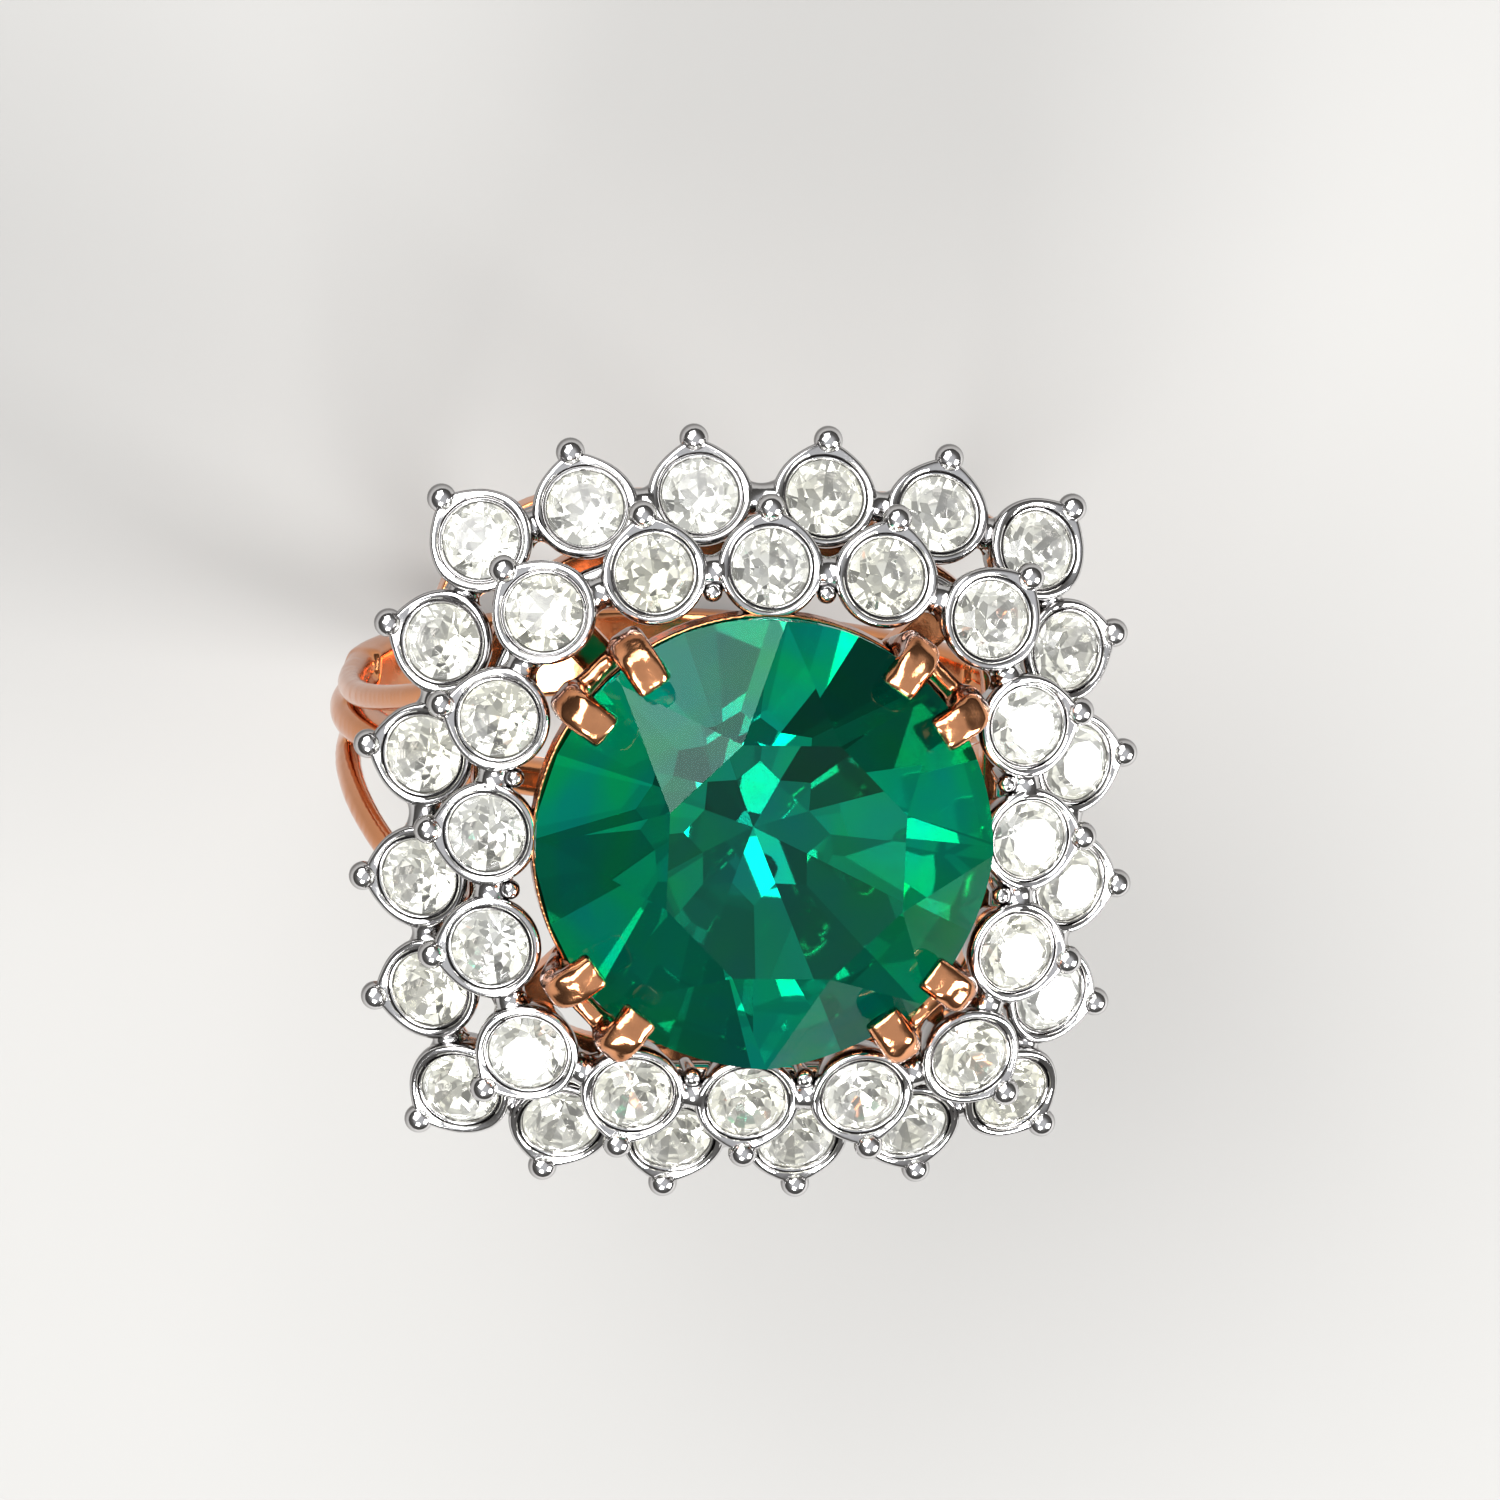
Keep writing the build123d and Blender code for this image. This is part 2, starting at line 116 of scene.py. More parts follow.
class RingStoneCuts(bpy.types.PropertyGroup):
    """Sizes of the small stones and of the facets added to the centre stone."""

    small_radius: length("Small stone radius", "Radius of a small stone at its girdle", 1.0)
    small_crown: length("Small crown", "Height of a small stone above its girdle", 0.34)
    small_girdle: length("Small girdle", "Thickness of a small stone's edge", 0.1)
    small_table: length("Small table", "Distance from the middle to the side of a small table", 0.6)
    centre_radius: length("Centre radius", "Radius of the centre stone at its girdle", 6.0)
    centre_table: length("Centre table", "Distance from the middle to the side of the large table", 3.1)
    table_offset: length("Table offset", "How far the large table lies off the stone's axis", 0.3)
    centre_crown: length("Centre crown", "Height of the centre stone above its girdle", 1.85)
    centre_girdle: length("Centre girdle", "Thickness of the centre stone's edge", 0.55)
    centre_depth: length("Centre depth", "Depth of the centre stone below its girdle", 5.35)


class RingFinishes(bpy.types.PropertyGroup):
    """Colours of the metals and stones."""

    rose_gold: colour("Rose gold", "Colour of the shank, basket and claws", (0.87, 0.37, 0.16))
    white_metal: colour("White metal", "Colour of the halo castings", (0.93, 0.92, 0.92))
    green: colour("Green glass", "Body colour of the centre stone", (0.0, 0.70, 0.50))
    green_foil: colour("Green foil", "Colour of the foil under the centre stone", (0.0, 0.70, 0.33))
    teal_foil: colour("Teal foil", "Second colour of the foil under the centre stone", (0.0, 0.55, 0.55))
    clear: colour("Clear glass", "Body colour of the small stones", (0.97, 0.98, 0.98))
    clear_foil: colour("Silver foil", "Colour of the foil under the small stones", (0.98, 0.98, 0.95))


class RingStudio(bpy.types.PropertyGroup):
    """The camera's angle, the floor and the lights."""

    pitch: bpy.props.FloatProperty(
        name="Pitch", description="Lean of the view towards the top of the halo",
        default=radians(12.6), subtype="ANGLE"
    )
    yaw: bpy.props.FloatProperty(
        name="Yaw", description="Lean of the view towards the left of the halo",
        default=radians(8.0), subtype="ANGLE"
    )
    roll: bpy.props.FloatProperty(
        name="Roll", description="Turn of the halo in the picture", default=radians(-2.5), subtype="ANGLE"
    )
    distance: length("Distance", "Distance of the camera from the centre stone", 250.0)
    field: length("Field", "Width of what the camera sees at the centre stone", 39.1)
    aside: length("Aside", "Place of the centre stone right of the picture's middle", 0.40)
    below: length("Below", "Place of the centre stone below the picture's middle", 2.52)
    floor_colour: colour("Floor colour", "Colour of the floor", (0.35, 0.345, 0.335))


class RingSettings(bpy.types.PropertyGroup):
    """All settings of the ring."""

    sizes: bpy.props.PointerProperty(type=RingCastingSizes, name="Sizes", description="Sizes of the castings")
    cuts: bpy.props.PointerProperty(type=RingStoneCuts, name="Cuts", description="Facets of the stones")
    finishes: bpy.props.PointerProperty(type=RingFinishes, name="Finishes", description="Colours")
    studio: bpy.props.PointerProperty(type=RingStudio, name="Studio", description="Camera, floor and lights")


# ------------------------------------------------------------------ mesh helpers


def link_mesh(name, mesh):
    """A new object in the scene at the origin with this mesh."""
    piece = bpy.data.objects.new(name, mesh)
    bpy.context.scene.collection.objects.link(piece)
    return piece


def bmesh_object(name, bm, sharp_angle=40.0):
    """The bmesh as a smooth-shaded object whose sharp edges stay crisp."""
    bmesh.ops.recalc_face_normals(bm, faces=bm.faces)
    mesh = bpy.data.meshes.new(name)
    bm.to_mesh(mesh)
    bm.free()
    mesh.shade_smooth()
    mesh.set_sharp_from_angle(angle=radians(sharp_angle))
    return link_mesh(name, mesh)


def add_lathe(bm, outline, steps=48, place=Matrix.Identity(4), swell=None):
    """Turn an outline of (radius, height) round Z: a closed one makes a ring, an open one ends in poles."""
    rings = []
    closed = outline[0] == outline[-1]
    for radius, height in outline[:-1] if closed else outline:
        if radius < 1e-9:
            rings.append([bm.verts.new(place @ Vector((0, 0, height)))])
            continue
        ring = []
        for step in range(steps):
            angle = tau * step / steps
            reach = radius + (swell(angle, radius, height) if swell else 0.0)
            ring.append(bm.verts.new(place @ Vector((reach * cos(angle), reach * sin(angle), height))))
        rings.append(ring)
    pairs = list(zip(rings, rings[1:] + rings[:1])) if closed else list(zip(rings, rings[1:]))
    for one, two in pairs:
        for step in range(steps):
            following = (step + 1) % steps
            if len(one) == 1:
                bm.faces.new((one[0], two[step], two[following]))
            elif len(two) == 1:
                bm.faces.new((one[step], two[0], one[following]))
            else:
                bm.faces.new((one[step], two[step], two[following], one[following]))


def rounded_ends(radius, low, high, edge, count=4):
    """Outline of a bar along Z from low to high whose ends are rounded over by edge."""
    outline = [(0.0, low)]
    for step in range(count + 1):
        angle = pi / 2 * step / count
        outline.append((radius - edge + edge * sin(angle), low + edge - edge * cos(angle)))
    for step in range(count + 1):
        angle = pi / 2 * step / count
        outline.append((radius - edge + edge * cos(angle), high - edge + edge * sin(angle)))
    outline.append((0.0, high))
    return outline


def rounded_square(half, corner, per_corner=14):
    """Points and outward directions along a rounded square centred on the origin."""
    path = []
    for quarter in range(4):
        centre = Matrix.Rotation(quarter * pi / 2, 2) @ Vector((half - corner, half - corner))
        for step in range(per_corner + 1):
            angle = quarter * pi / 2 + pi / 2 * step / per_corner
            outward = Vector((cos(angle), sin(angle)))
            path.append((centre + corner * outward, outward))
    return path


def add_square_rail(bm, half, corner, width, low, high, steps=16):
    """A rail with a softly rounded section that follows a rounded square."""
    loops = []
    middle = (low + high) / 2
    for point, outward in rounded_square(half, corner):
        loop = []
        for step in range(steps):
            angle = tau * step / steps
            across = abs(cos(angle)) ** 0.5 * (1 if cos(angle) > 0 else -1)
            up = abs(sin(angle)) ** 0.5 * (1 if sin(angle) > 0 else -1)
            reach = point + outward * across * width / 2
            loop.append(bm.verts.new((reach.x, reach.y, middle + up * (high - low) / 2)))
        loops.append(loop)
    for one, two in zip(loops, loops[1:] + loops[:1]):
        for step in range(steps):
            following = (step + 1) % steps
            bm.faces.new((one[step], two[step], two[following], one[following]))


def cast_copy(name, node, voxel, passes):
    """A copy of a CAD node with its joints flowed together and its edges softened, as a casting has them."""
    bm = bmesh.new()
    bm.from_mesh(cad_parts[node].data)
    bmesh.ops.remove_doubles(bm, verts=bm.verts, dist=0.001 * MM)
    mesh = bpy.data.meshes.new(name)
    bm.to_mesh(mesh)
    bm.free()
    rough = link_mesh(name + "_rough", mesh)
    remesh = rough.modifiers.new("Flow", "REMESH")
    remesh.mode = "VOXEL"
    remesh.voxel_size = voxel
    remesh.use_smooth_shade = True
    smooth = rough.modifiers.new("Polish", "SMOOTH")
    smooth.factor = 0.5
    smooth.iterations = passes
    piece = plain_copy(name, rough)
    bpy.data.objects.remove(rough)
    return piece


def plain_copy(name, source):
    """The evaluated object as a new object with a plain mesh and no modifiers."""
    graph = bpy.context.evaluated_depsgraph_get()
    graph.update()
    mesh = bpy.data.meshes.new_from_object(source.evaluated_get(graph))
    mesh.name = name
    return link_mesh(name, mesh)


def finish_piece(piece, node, material):
    """Give a finished piece its material and let it stand for its CAD node."""
    piece.data.materials.clear()
    piece.data.materials.append(material)
    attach(piece, BODY)
    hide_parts(node)


# ------------------------------------------------------------------ shader helpers


def new_group(name, inputs, outputs):
    """An empty shader group with the named sockets."""
    group = bpy.data.node_groups.new(name, "ShaderNodeTree")
    for label, kind, value in inputs:
        socket = group.interface.new_socket(label, in_out="INPUT", socket_type=kind)
        if value is not None:
            socket.default_value = value
    for label, kind in outputs:
        group.interface.new_socket(label, in_out="OUTPUT", socket_type=kind)
    return group, group.nodes.new("NodeGroupInput"), group.nodes.new("NodeGroupOutput")


def add_node(tree, kind, values=None, **settings):
    """A node with its settings and the values of its input sockets."""
    node = tree.nodes.new(kind)
    for key, value in settings.items():
        setattr(node, key, value)
    for key, value in (values or {}).items():
        node.inputs[key].default_value = value
    return node


def map_range(tree, source, low, high, to_low, to_high):
    """A clamped Map Range node on a value."""
    node = add_node(tree, "ShaderNodeMapRange", {1: low, 2: high, 3: to_low, 4: to_high})
    tree.links.new(source, node.inputs[0])
    return node.outputs[0]


def mix_colours(tree, factor, one, two):
    """A colour mix; one and two are sockets or colours."""
    node = add_node(tree, "ShaderNodeMix", data_type="RGBA")
    tree.links.new(factor, node.inputs[0])
    for index, value in ((6, one), (7, two)):
        if isinstance(value, bpy.types.NodeSocket):
            tree.links.new(value, node.inputs[index])
        else:
            node.inputs[index].default_value = (*value, 1.0)
    return node.outputs[2]


def casting_group():
    """Metal colour with random patches and painted shade in hollows, crevices and flanks; cloudy polish and
    grain.
    """
    found = bpy.data.node_groups.get("Cast Polish And Painted Shade")
    if found:
        return found
    group, enter, leave = new_group(
        "Cast Polish And Painted Shade",
        [
            ("Place", "NodeSocketVector", None),
            ("Colour", "NodeSocketColor", (0.8, 0.8, 0.8, 1.0)),
            ("Shade", "NodeSocketColor", (0.5, 0.5, 0.5, 1.0)),
            ("Cloud Scale", "NodeSocketFloat", 400.0),
            ("Grain Scale", "NodeSocketFloat", 4000.0),
            ("Smoothest", "NodeSocketFloat", 0.08),
            ("Roughest", "NodeSocketFloat", 0.25),
            ("Crevice Reach", "NodeSocketFloat", 0.3 * MM),
            ("Side Shade", "NodeSocketFloat", 0.5),
            ("Dimple Scale", "NodeSocketFloat", 1200.0),
            ("Dimple Height", "NodeSocketFloat", 1.0),
        ],
        [("Colour", "NodeSocketColor"), ("Roughness", "NodeSocketFloat"), ("Height", "NodeSocketFloat")],
    )
    link = group.links.new
    cloud = add_node(group, "ShaderNodeTexNoise", {"Detail": 4.0, "Roughness": 0.6})
    link(enter.outputs["Place"], cloud.inputs["Vector"])
    link(enter.outputs["Cloud Scale"], cloud.inputs["Scale"])
    grain = add_node(group, "ShaderNodeTexNoise", {"Detail": 3.0, "Roughness": 0.55})
    link(enter.outputs["Place"], grain.inputs["Vector"])
    link(enter.outputs["Grain Scale"], grain.inputs["Scale"])
    geometry = add_node(group, "ShaderNodeNewGeometry")
    # Painted shade: hollows (low pointiness) and crevices (ambient occlusion) darken the colour towards
    # Shade.
    painted_hollow_shade = map_range(group, geometry.outputs["Pointiness"], 0.36, 0.47, 0.9, 0.0)
    crevice = add_node(group, "ShaderNodeAmbientOcclusion", samples=8)
    link(enter.outputs["Crevice Reach"], crevice.inputs["Distance"])
    painted_crevice_shade = map_range(group, crevice.outputs["AO"], 0.12, 0.55, 1.0, 0.0)
    patch = map_range(group, cloud.outputs["Fac"], 0.45, 0.85, 0.0, 0.35)
    dark = add_node(group, "ShaderNodeMath", operation="MAXIMUM")
    link(painted_hollow_shade, dark.inputs[0])
    link(painted_crevice_shade, dark.inputs[1])
    darker = add_node(group, "ShaderNodeMath", operation="MAXIMUM")
    link(dark.outputs[0], darker.inputs[0])
    link(patch, darker.inputs[1])
    # Painted shade: surfaces turned away from straight up darken towards Shade, as much as Side Shade asks.
    facing = add_node(group, "ShaderNodeSeparateXYZ")
    link(geometry.outputs["Normal"], facing.inputs[0])
    side = add_node(group, "ShaderNodeMath", operation="MULTIPLY")
    link(map_range(group, facing.outputs["Z"], 0.25, 0.80, 1.0, 0.0), side.inputs[0])
    link(enter.outputs["Side Shade"], side.inputs[1])
    darkest = add_node(group, "ShaderNodeMath", operation="MAXIMUM")
    link(darker.outputs[0], darkest.inputs[0])
    link(side.outputs[0], darkest.inputs[1])
    shaded = mix_colours(group, darkest.outputs[0], enter.outputs["Colour"], enter.outputs["Shade"])
    link(shaded, leave.inputs["Colour"])
    rough = add_node(group, "ShaderNodeMapRange", {1: 0.3, 2: 0.7})
    link(cloud.outputs["Fac"], rough.inputs[0])
    link(enter.outputs["Smoothest"], rough.inputs[3])
    link(enter.outputs["Roughest"], rough.inputs[4])
    link(rough.outputs[0], leave.inputs["Roughness"])
    height = add_node(group, "ShaderNodeMath", {1: 0.35}, operation="MULTIPLY_ADD")
    link(grain.outputs["Fac"], height.inputs[0])
    link(cloud.outputs["Fac"], height.inputs[2])
    dimple = add_node(group, "ShaderNodeTexNoise", {"Detail": 0.0})
    link(enter.outputs["Place"], dimple.inputs["Vector"])
    link(enter.outputs["Dimple Scale"], dimple.inputs["Scale"])
    relief = add_node(group, "ShaderNodeMath", operation="MULTIPLY_ADD")
    link(dimple.outputs["Fac"], relief.inputs[0])
    link(enter.outputs["Dimple Height"], relief.inputs[1])
    link(height.outputs[0], relief.inputs[2])
    link(relief.outputs[0], leave.inputs["Height"])
    return group


def metal(
    name, main_colour, shade, cloud, grain, smoothest, roughest, relief, sides, dimple, dimple_height, reach
):
    """A polished cast metal: sides sets its painted flank shade, dimple scales its dents, reach widens its
    painted crevice shade.
    """
    material = bpy.data.materials.new(name)
    material.use_nodes = True
    tree = material.node_tree
    shader = tree.nodes["Principled BSDF"]
    shader.inputs["Metallic"].default_value = 1.0
    place = add_node(tree, "ShaderNodeTexCoord")
    polish = add_node(
        tree,
        "ShaderNodeGroup",
        {"Colour": (*main_colour, 1.0), "Shade": (*shade, 1.0), "Cloud Scale": cloud, "Grain Scale": grain,
         "Smoothest": smoothest, "Roughest": roughest, "Side Shade": sides, "Dimple Scale": dimple,
         "Dimple Height": dimple_height, "Crevice Reach": reach},
        node_tree=casting_group(),
    )
    bump = add_node(tree, "ShaderNodeBump", {"Strength": relief, "Distance": 0.02 * MM})
    tree.links.new(place.outputs["Object"], polish.inputs["Place"])
    tree.links.new(polish.outputs["Colour"], shader.inputs["Base Color"])
    tree.links.new(polish.outputs["Roughness"], shader.inputs["Roughness"])
    tree.links.new(polish.outputs["Height"], bump.inputs["Height"])
    tree.links.new(bump.outputs["Normal"], shader.inputs["Normal"])
    return material


def rose_gold_metal():
    """Rose-gold plating, with a warm painted shade in its hollows and crevices and on its flanks."""
    found = bpy.data.materials.get("Rose Gold")
    tint = bpy.context.scene.ring.finishes.rose_gold
    # The shade colour is painted shade for hollows, crevices and flanks.
    return found or metal(
        "Rose Gold", tint, shade=(0.22, 0.07, 0.03), cloud=700.0, grain=5200.0, smoothest=0.10, roughest=0.24,
        relief=0.5, sides=0.35, dimple=500.0, dimple_height=0.5, reach=2.2 * MM
    )


def hammered_metal():
    """The rose-gold plating of the claws, lightened as painted light, with softly hammered tops and painted
    shade on their flanks.
    """
    found = bpy.data.materials.get("Hammered Rose Gold")
    tint = bpy.context.scene.ring.finishes.rose_gold
    # Painted light: the claws' rose gold is lightened to stand for their brightly lit tops.
    bright = tuple(min(1.0, 1.1 * part + 0.03) for part in tint)
    return found or metal(
        "Hammered Rose Gold", bright, shade=(0.16, 0.045, 0.018), cloud=900.0, grain=6000.0, smoothest=0.10,
        roughest=0.18, relief=1.0, sides=0.85, dimple=1500.0, dimple_height=12.0, reach=0.3 * MM
    )


def white_metal():
    """White plating over a casting, with dark painted shade in its hollows and crevices and on its flanks."""
    found = bpy.data.materials.get("White Metal")
    tint = bpy.context.scene.ring.finishes.white_metal
    # The shade colour is painted shade for hollows, crevices and flanks.
    return found or metal(
        "White Metal", tint, shade=(0.07, 0.06, 0.057), cloud=900.0, grain=6500.0, smoothest=0.07,
        roughest=0.16, relief=0.4, sides=0.85, dimple=1400.0, dimple_height=1.5, reach=0.3 * MM
    )


def drifting_colour(tree, scale, one, two):
    """A colour that drifts slowly from one to the other over a piece."""
    place = add_node(tree, "ShaderNodeTexCoord")
    drift = add_node(tree, "ShaderNodeTexNoise", {"Scale": scale, "Detail": 2.0})
    tree.links.new(place.outputs["Object"], drift.inputs["Vector"])
    amount = map_range(tree, drift.outputs["Fac"], 0.35, 0.65, 0.0, 1.0)
    return mix_colours(tree, amount, one, two)


def cut_glass(name, tint, depth_tint, cloud, refraction, sheen):
    """Faceted glass whose body colour drifts slightly from place to place; sheen tints its reflections."""
    material = bpy.data.materials.new(name)
    material.use_nodes = True
    tree = material.node_tree
    shader = tree.nodes["Principled BSDF"]
    shader.inputs["Transmission Weight"].default_value = 1.0
    shader.inputs["IOR"].default_value = refraction
    shader.inputs["Roughness"].default_value = 0.0
    shader.inputs["Specular Tint"].default_value = (*sheen, 1.0)
    tree.links.new(drifting_colour(tree, cloud, tint, depth_tint), shader.inputs["Base Color"])
    return material


def foil(name, bright, second, dimmest, cloud, roughness, painted_glow):
    """Mirror foil on the back facets of a stone: the back facets each get their own painted shade, and the
    foil glows with painted light.
    """
    material = bpy.data.materials.new(name)
    material.use_nodes = True
    tree = material.node_tree
    shader = tree.nodes["Principled BSDF"]
    shader.inputs["Metallic"].default_value = 1.0
    shader.inputs["Roughness"].default_value = roughness
    # Painted light: the foil glows in its own colour, though it is no lamp.
    shader.inputs["Emission Strength"].default_value = painted_glow
    # Painted reflections: the back facets are each darkened by their own fixed amount.
    facet_painted_shade = add_node(tree, "ShaderNodeAttribute", attribute_name="facet_painted_shade")
    amount = map_range(tree, facet_painted_shade.outputs["Fac"], 0.0, 1.0, dimmest, 1.0)
    hue = drifting_colour(tree, cloud, bright, second)
    tint = mix_colours(tree, amount, (0.0, 0.0, 0.0), hue)
    tree.links.new(tint, shader.inputs["Base Color"])
    tree.links.new(tint, shader.inputs["Emission Color"])
    return material


# ------------------------------------------------------------------ halo castings


def seat_of(node, stone_depth):
    """Girdle centre and axis of a small stone, read from its CAD mesh: the culet is its lowest point."""
    corners = [vertex.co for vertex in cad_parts[node].data.vertices]
    culet = min(corners, key=lambda point: point.z).copy()
    middle = sum(corners, Vector()) / len(corners)
    axis = (middle - culet).normalized()
    return culet + axis * stone_depth, axis


def seat_turn(axis):
    """Rotation that takes local Z to the seat's axis and local X outward."""
    outward = Vector((axis.x, axis.y, 0)).normalized()
    across = Vector((0, 0, 1)).cross(outward)
    return Matrix((across.cross(axis), across, axis)).transposed()


def cup_outline(sizes):
    """Closed section of a cup: double-stepped rim, straight wall round the stone, cone and open back."""
    rim, seat, base = sizes.cup_radius, sizes.stone_radius, sizes.cup_base_radius
    foot = -sizes.cup_depth
    outline = [
        (base - 0.05 * MM, foot), (base, foot + 0.05 * MM), (base + 0.17 * MM, foot + 0.6 * MM),
        (rim - 0.03 * MM, -0.25 * MM), (rim, -0.10 * MM), (rim, 0.0), (rim - 0.02 * MM, 0.07 * MM),
        (rim - 0.06 * MM, 0.115 * MM), (rim - 0.11 * MM, 0.135 * MM), (rim - 0.165 * MM, 0.13 * MM),
        (rim - 0.21 * MM, 0.10 * MM), (rim - 0.235 * MM, 0.05 * MM), (rim - 0.245 * MM, 0.0),
        (rim - 0.255 * MM, 0.0), (rim - 0.265 * MM, 0.05 * MM), (rim - 0.285 * MM, 0.075 * MM),
        (rim - 0.305 * MM, 0.07 * MM), (seat + 0.02 * MM, 0.04 * MM), (seat + 0.006 * MM, -0.02 * MM),
        (seat, -0.166 * MM),
        (sizes.hole_radius, -0.617 * MM), (sizes.hole_radius, foot),
    ]
    return outline + outline[:1]


def cup_swell(sizes):
    """The wall of a cup draws out towards its bead and towards the cups beside it."""

    def swell(angle, radius, height):
        if radius < sizes.stone_radius + 0.16 * MM:
            return 0.0
        turned = (angle + pi) % tau - pi
        towards_bead = 0.15 * exp(-((turned / radians(22)) ** 2))
        beside = 0.04 * (exp(-(((abs(turned) - pi / 2) / radians(20)) ** 2)))
        return (towards_bead + beside) * MM

    return swell


def cup_piece(sizes):
    """One cup with its bead and the stalk under the bead, round the origin with the bead along X."""
    bm = bmesh.new()
    add_lathe(bm, cup_outline(sizes), 64, swell=cup_swell(sizes))
    place = Matrix.Translation((sizes.bead_reach, 0, 0))
    bmesh.ops.create_uvsphere(bm, u_segments=28, v_segments=18, radius=sizes.bead_radius, matrix=place)
    stalk = rounded_ends(0.2 * MM, -0.7 * MM, 0.0, 0.08 * MM)
    add_lathe(bm, stalk, 20, Matrix.Translation((sizes.bead_reach - 0.14 * MM, 0, 0)))
    return bmesh_object("cup_pattern", bm)


def bridge_piece(sizes):
    """A waisted bridge along Z, one millimetre long before it is stretched to its gap."""
    bm = bmesh.new()
    outline = [(0.0, -0.5 * MM)]
    for step in range(9):
        along = -1 + step / 4
        outline.append((sizes.bridge_radius + 0.12 * MM * along * along, 0.5 * MM * along))
    outline.append((0.0, 0.5 * MM))
    add_lathe(bm, outline, 24)
    return bmesh_object("bridge_pattern", bm)


def bead_piece(sizes):
    """A small bead on a post, the bead round the origin."""
    bm = bmesh.new()
    bmesh.ops.create_uvsphere(bm, u_segments=24, v_segments=16, radius=sizes.inner_bead_radius)
    add_lathe(bm, rounded_ends(0.2 * MM, -1.35 * MM, 0.0, 0.08 * MM), 20)
    return bmesh_object("bead_pattern", bm)


def casting_tree():
    """Geometry nodes that set a cup, a bridge or a bead on each marked point and fuse them into one mesh."""
    tree = bpy.data.node_groups.new("Halo Casting", "GeometryNodeTree")
    tree.interface.new_socket("Seats", in_out="INPUT", socket_type="NodeSocketGeometry")
    kinds = ("Cup", "Bridge", "Bead")
    for label in kinds:
        tree.interface.new_socket(label, in_out="INPUT", socket_type="NodeSocketObject")
        size = tree.interface.new_socket(label + " Size", in_out="INPUT", socket_type="NodeSocketFloat")
        size.default_value = 1.0
    tree.interface.new_socket("Metal", in_out="INPUT", socket_type="NodeSocketMaterial")
    tree.interface.new_socket("Casting", in_out="OUTPUT", socket_type="NodeSocketGeometry")
    enter = tree.nodes.new("NodeGroupInput")
    leave = tree.nodes.new("NodeGroupOutput")
    link = tree.links.new
    kind = add_node(tree, "GeometryNodeInputNamedAttribute", {"Name": "kind"}, data_type="INT")
    turn = add_node(tree, "GeometryNodeInputNamedAttribute", {"Name": "turn"}, data_type="FLOAT_VECTOR")
    stretch = add_node(tree, "GeometryNodeInputNamedAttribute", {"Name": "stretch"}, data_type="FLOAT_VECTOR")
    rotation = add_node(tree, "FunctionNodeEulerToRotation")
    link(turn.outputs[0], rotation.inputs[0])
    join = add_node(tree, "GeometryNodeJoinGeometry")
    for number, label in enumerate(kinds):
        chosen = add_node(tree, "FunctionNodeCompare", data_type="INT", operation="EQUAL")
        link(kind.outputs[0], chosen.inputs[2])
        chosen.inputs[3].default_value = number
        pattern = add_node(tree, "GeometryNodeObjectInfo")
        link(enter.outputs[label], pattern.inputs["Object"])
        size = add_node(tree, "ShaderNodeVectorMath", operation="SCALE")
        link(stretch.outputs[0], size.inputs[0])
        link(enter.outputs[label + " Size"], size.inputs["Scale"])
        setting = add_node(tree, "GeometryNodeInstanceOnPoints")
        link(enter.outputs["Seats"], setting.inputs["Points"])
        link(chosen.outputs[0], setting.inputs["Selection"])
        link(pattern.outputs["Geometry"], setting.inputs["Instance"])
        link(rotation.outputs[0], setting.inputs["Rotation"])
        link(size.outputs[0], setting.inputs["Scale"])
        link(setting.outputs[0], join.inputs[0])
    real = add_node(tree, "GeometryNodeRealizeInstances")
    coat = add_node(tree, "GeometryNodeSetMaterial")
    link(join.outputs[0], real.inputs[0])
    link(real.outputs[0], coat.inputs["Geometry"])
    link(enter.outputs["Metal"], coat.inputs["Material"])
    link(coat.outputs[0], leave.inputs[0])
    return tree


def seat_points(name, seats, beads, sizes):
    """Points for the casting tree: a cup on each seat, a bridge in each gap and a bead on each post."""
    points = []
    for place, axis in seats:
        points.append((place, seat_turn(axis), 0, (1.0, 1.0, 1.0)))
    for (here, axis_here), (there, axis_there) in zip(seats, seats[1:] + seats[:1]):
        gap = there - here
        middle = (here + there) / 2 - (axis_here + axis_there) / 2 * 0.33 * MM
        stretch = (gap.length - 2 * (sizes.cup_radius - 0.12 * MM)) / MM
        points.append((middle, gap.to_track_quat("Z", "X").to_matrix(), 1, (1.0, 1.0, stretch)))
    for place in beads:
        points.append((place, Matrix.Identity(3), 2, (1.0, 1.0, 1.0)))
    return marked_points(name, points)


def marked_points(name, points):
    """A mesh of loose points, each marked with its kind, its turn and its stretch."""
    mesh = bpy.data.meshes.new(name)
    mesh.from_pydata([place for place, *_ in points], [], [])
    kinds = mesh.attributes.new("kind", "INT", "POINT")
    turns = mesh.attributes.new("turn", "FLOAT_VECTOR", "POINT")
    stretches = mesh.attributes.new("stretch", "FLOAT_VECTOR", "POINT")
    for number, (_, turn, kind, stretch) in enumerate(points):
        kinds.data[number].value = kind
        turns.data[number].vector = turn.to_euler("XYZ")
        stretches.data[number].vector = stretch
    return link_mesh(name, mesh)


def set_inputs(modifier, values):
    """Set a geometry nodes modifier's inputs by the identifiers of their sockets."""
    for item in modifier.node_group.interface.items_tree:
        if item.item_type == "SOCKET" and item.in_out == "INPUT" and item.name in values:
            modifier[item.identifier] = values[item.name]


